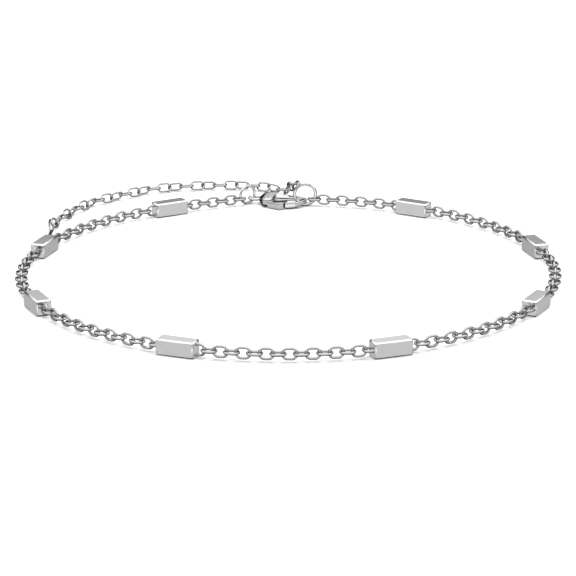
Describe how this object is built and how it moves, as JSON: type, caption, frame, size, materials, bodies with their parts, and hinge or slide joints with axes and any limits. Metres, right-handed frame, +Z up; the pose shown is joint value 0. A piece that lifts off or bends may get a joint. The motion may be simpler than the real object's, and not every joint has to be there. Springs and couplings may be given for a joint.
{
  "type": "chain bracelet",
  "caption": "Closed bracelet of square bars and fine cable chain with a lobster clasp and an extender chain, laid flat in a ring.",
  "frame": {"origin": "centre of the whole piece seen from above, on the surface that it lies on", "axes": "+Z up from the surface; -Y is the front of the loop; +Y is the side with the clasp"},
  "size_m": [0.0588, 0.066, 0.0031],
  "materials": {
    "polished_silver": "polished white metal"
  },
  "bodies": {
    "bracelet": {"bar_1": "polished_silver", "bar_2": "polished_silver", "bar_3": "polished_silver", "bar_4": "polished_silver", "bar_5": "polished_silver", "bar_6": "polished_silver", "bar_7": "polished_silver", "bar_8": "polished_silver", "chain_1": "polished_silver", "chain_2": "polished_silver", "chain_3": "polished_silver", "chain_4": "polished_silver", "chain_5": "polished_silver", "chain_6": "polished_silver", "chain_7": "polished_silver", "chain_right_end": "polished_silver", "chain_left_end": "polished_silver", "clasp_ring": "polished_silver", "extender_ring": "polished_silver", "clasp_body": "polished_silver", "clasp_pin": "polished_silver", "extender_chain": "polished_silver", "extender_end": "polished_silver"},
    "lever": {"clasp_lever": "polished_silver"}
  },
  "joints": [
    {"name": "clasp_lever_pivot", "type": "hinge", "parent": "bracelet", "child": "lever", "pos_m": [-0.00303, 0.02474, 0.0007], "axis": [0, 0, 1], "range_deg": [0, 22], "stiffness_Nm_per_rad": 0.0002, "springref_deg": -17.19}
  ]
}
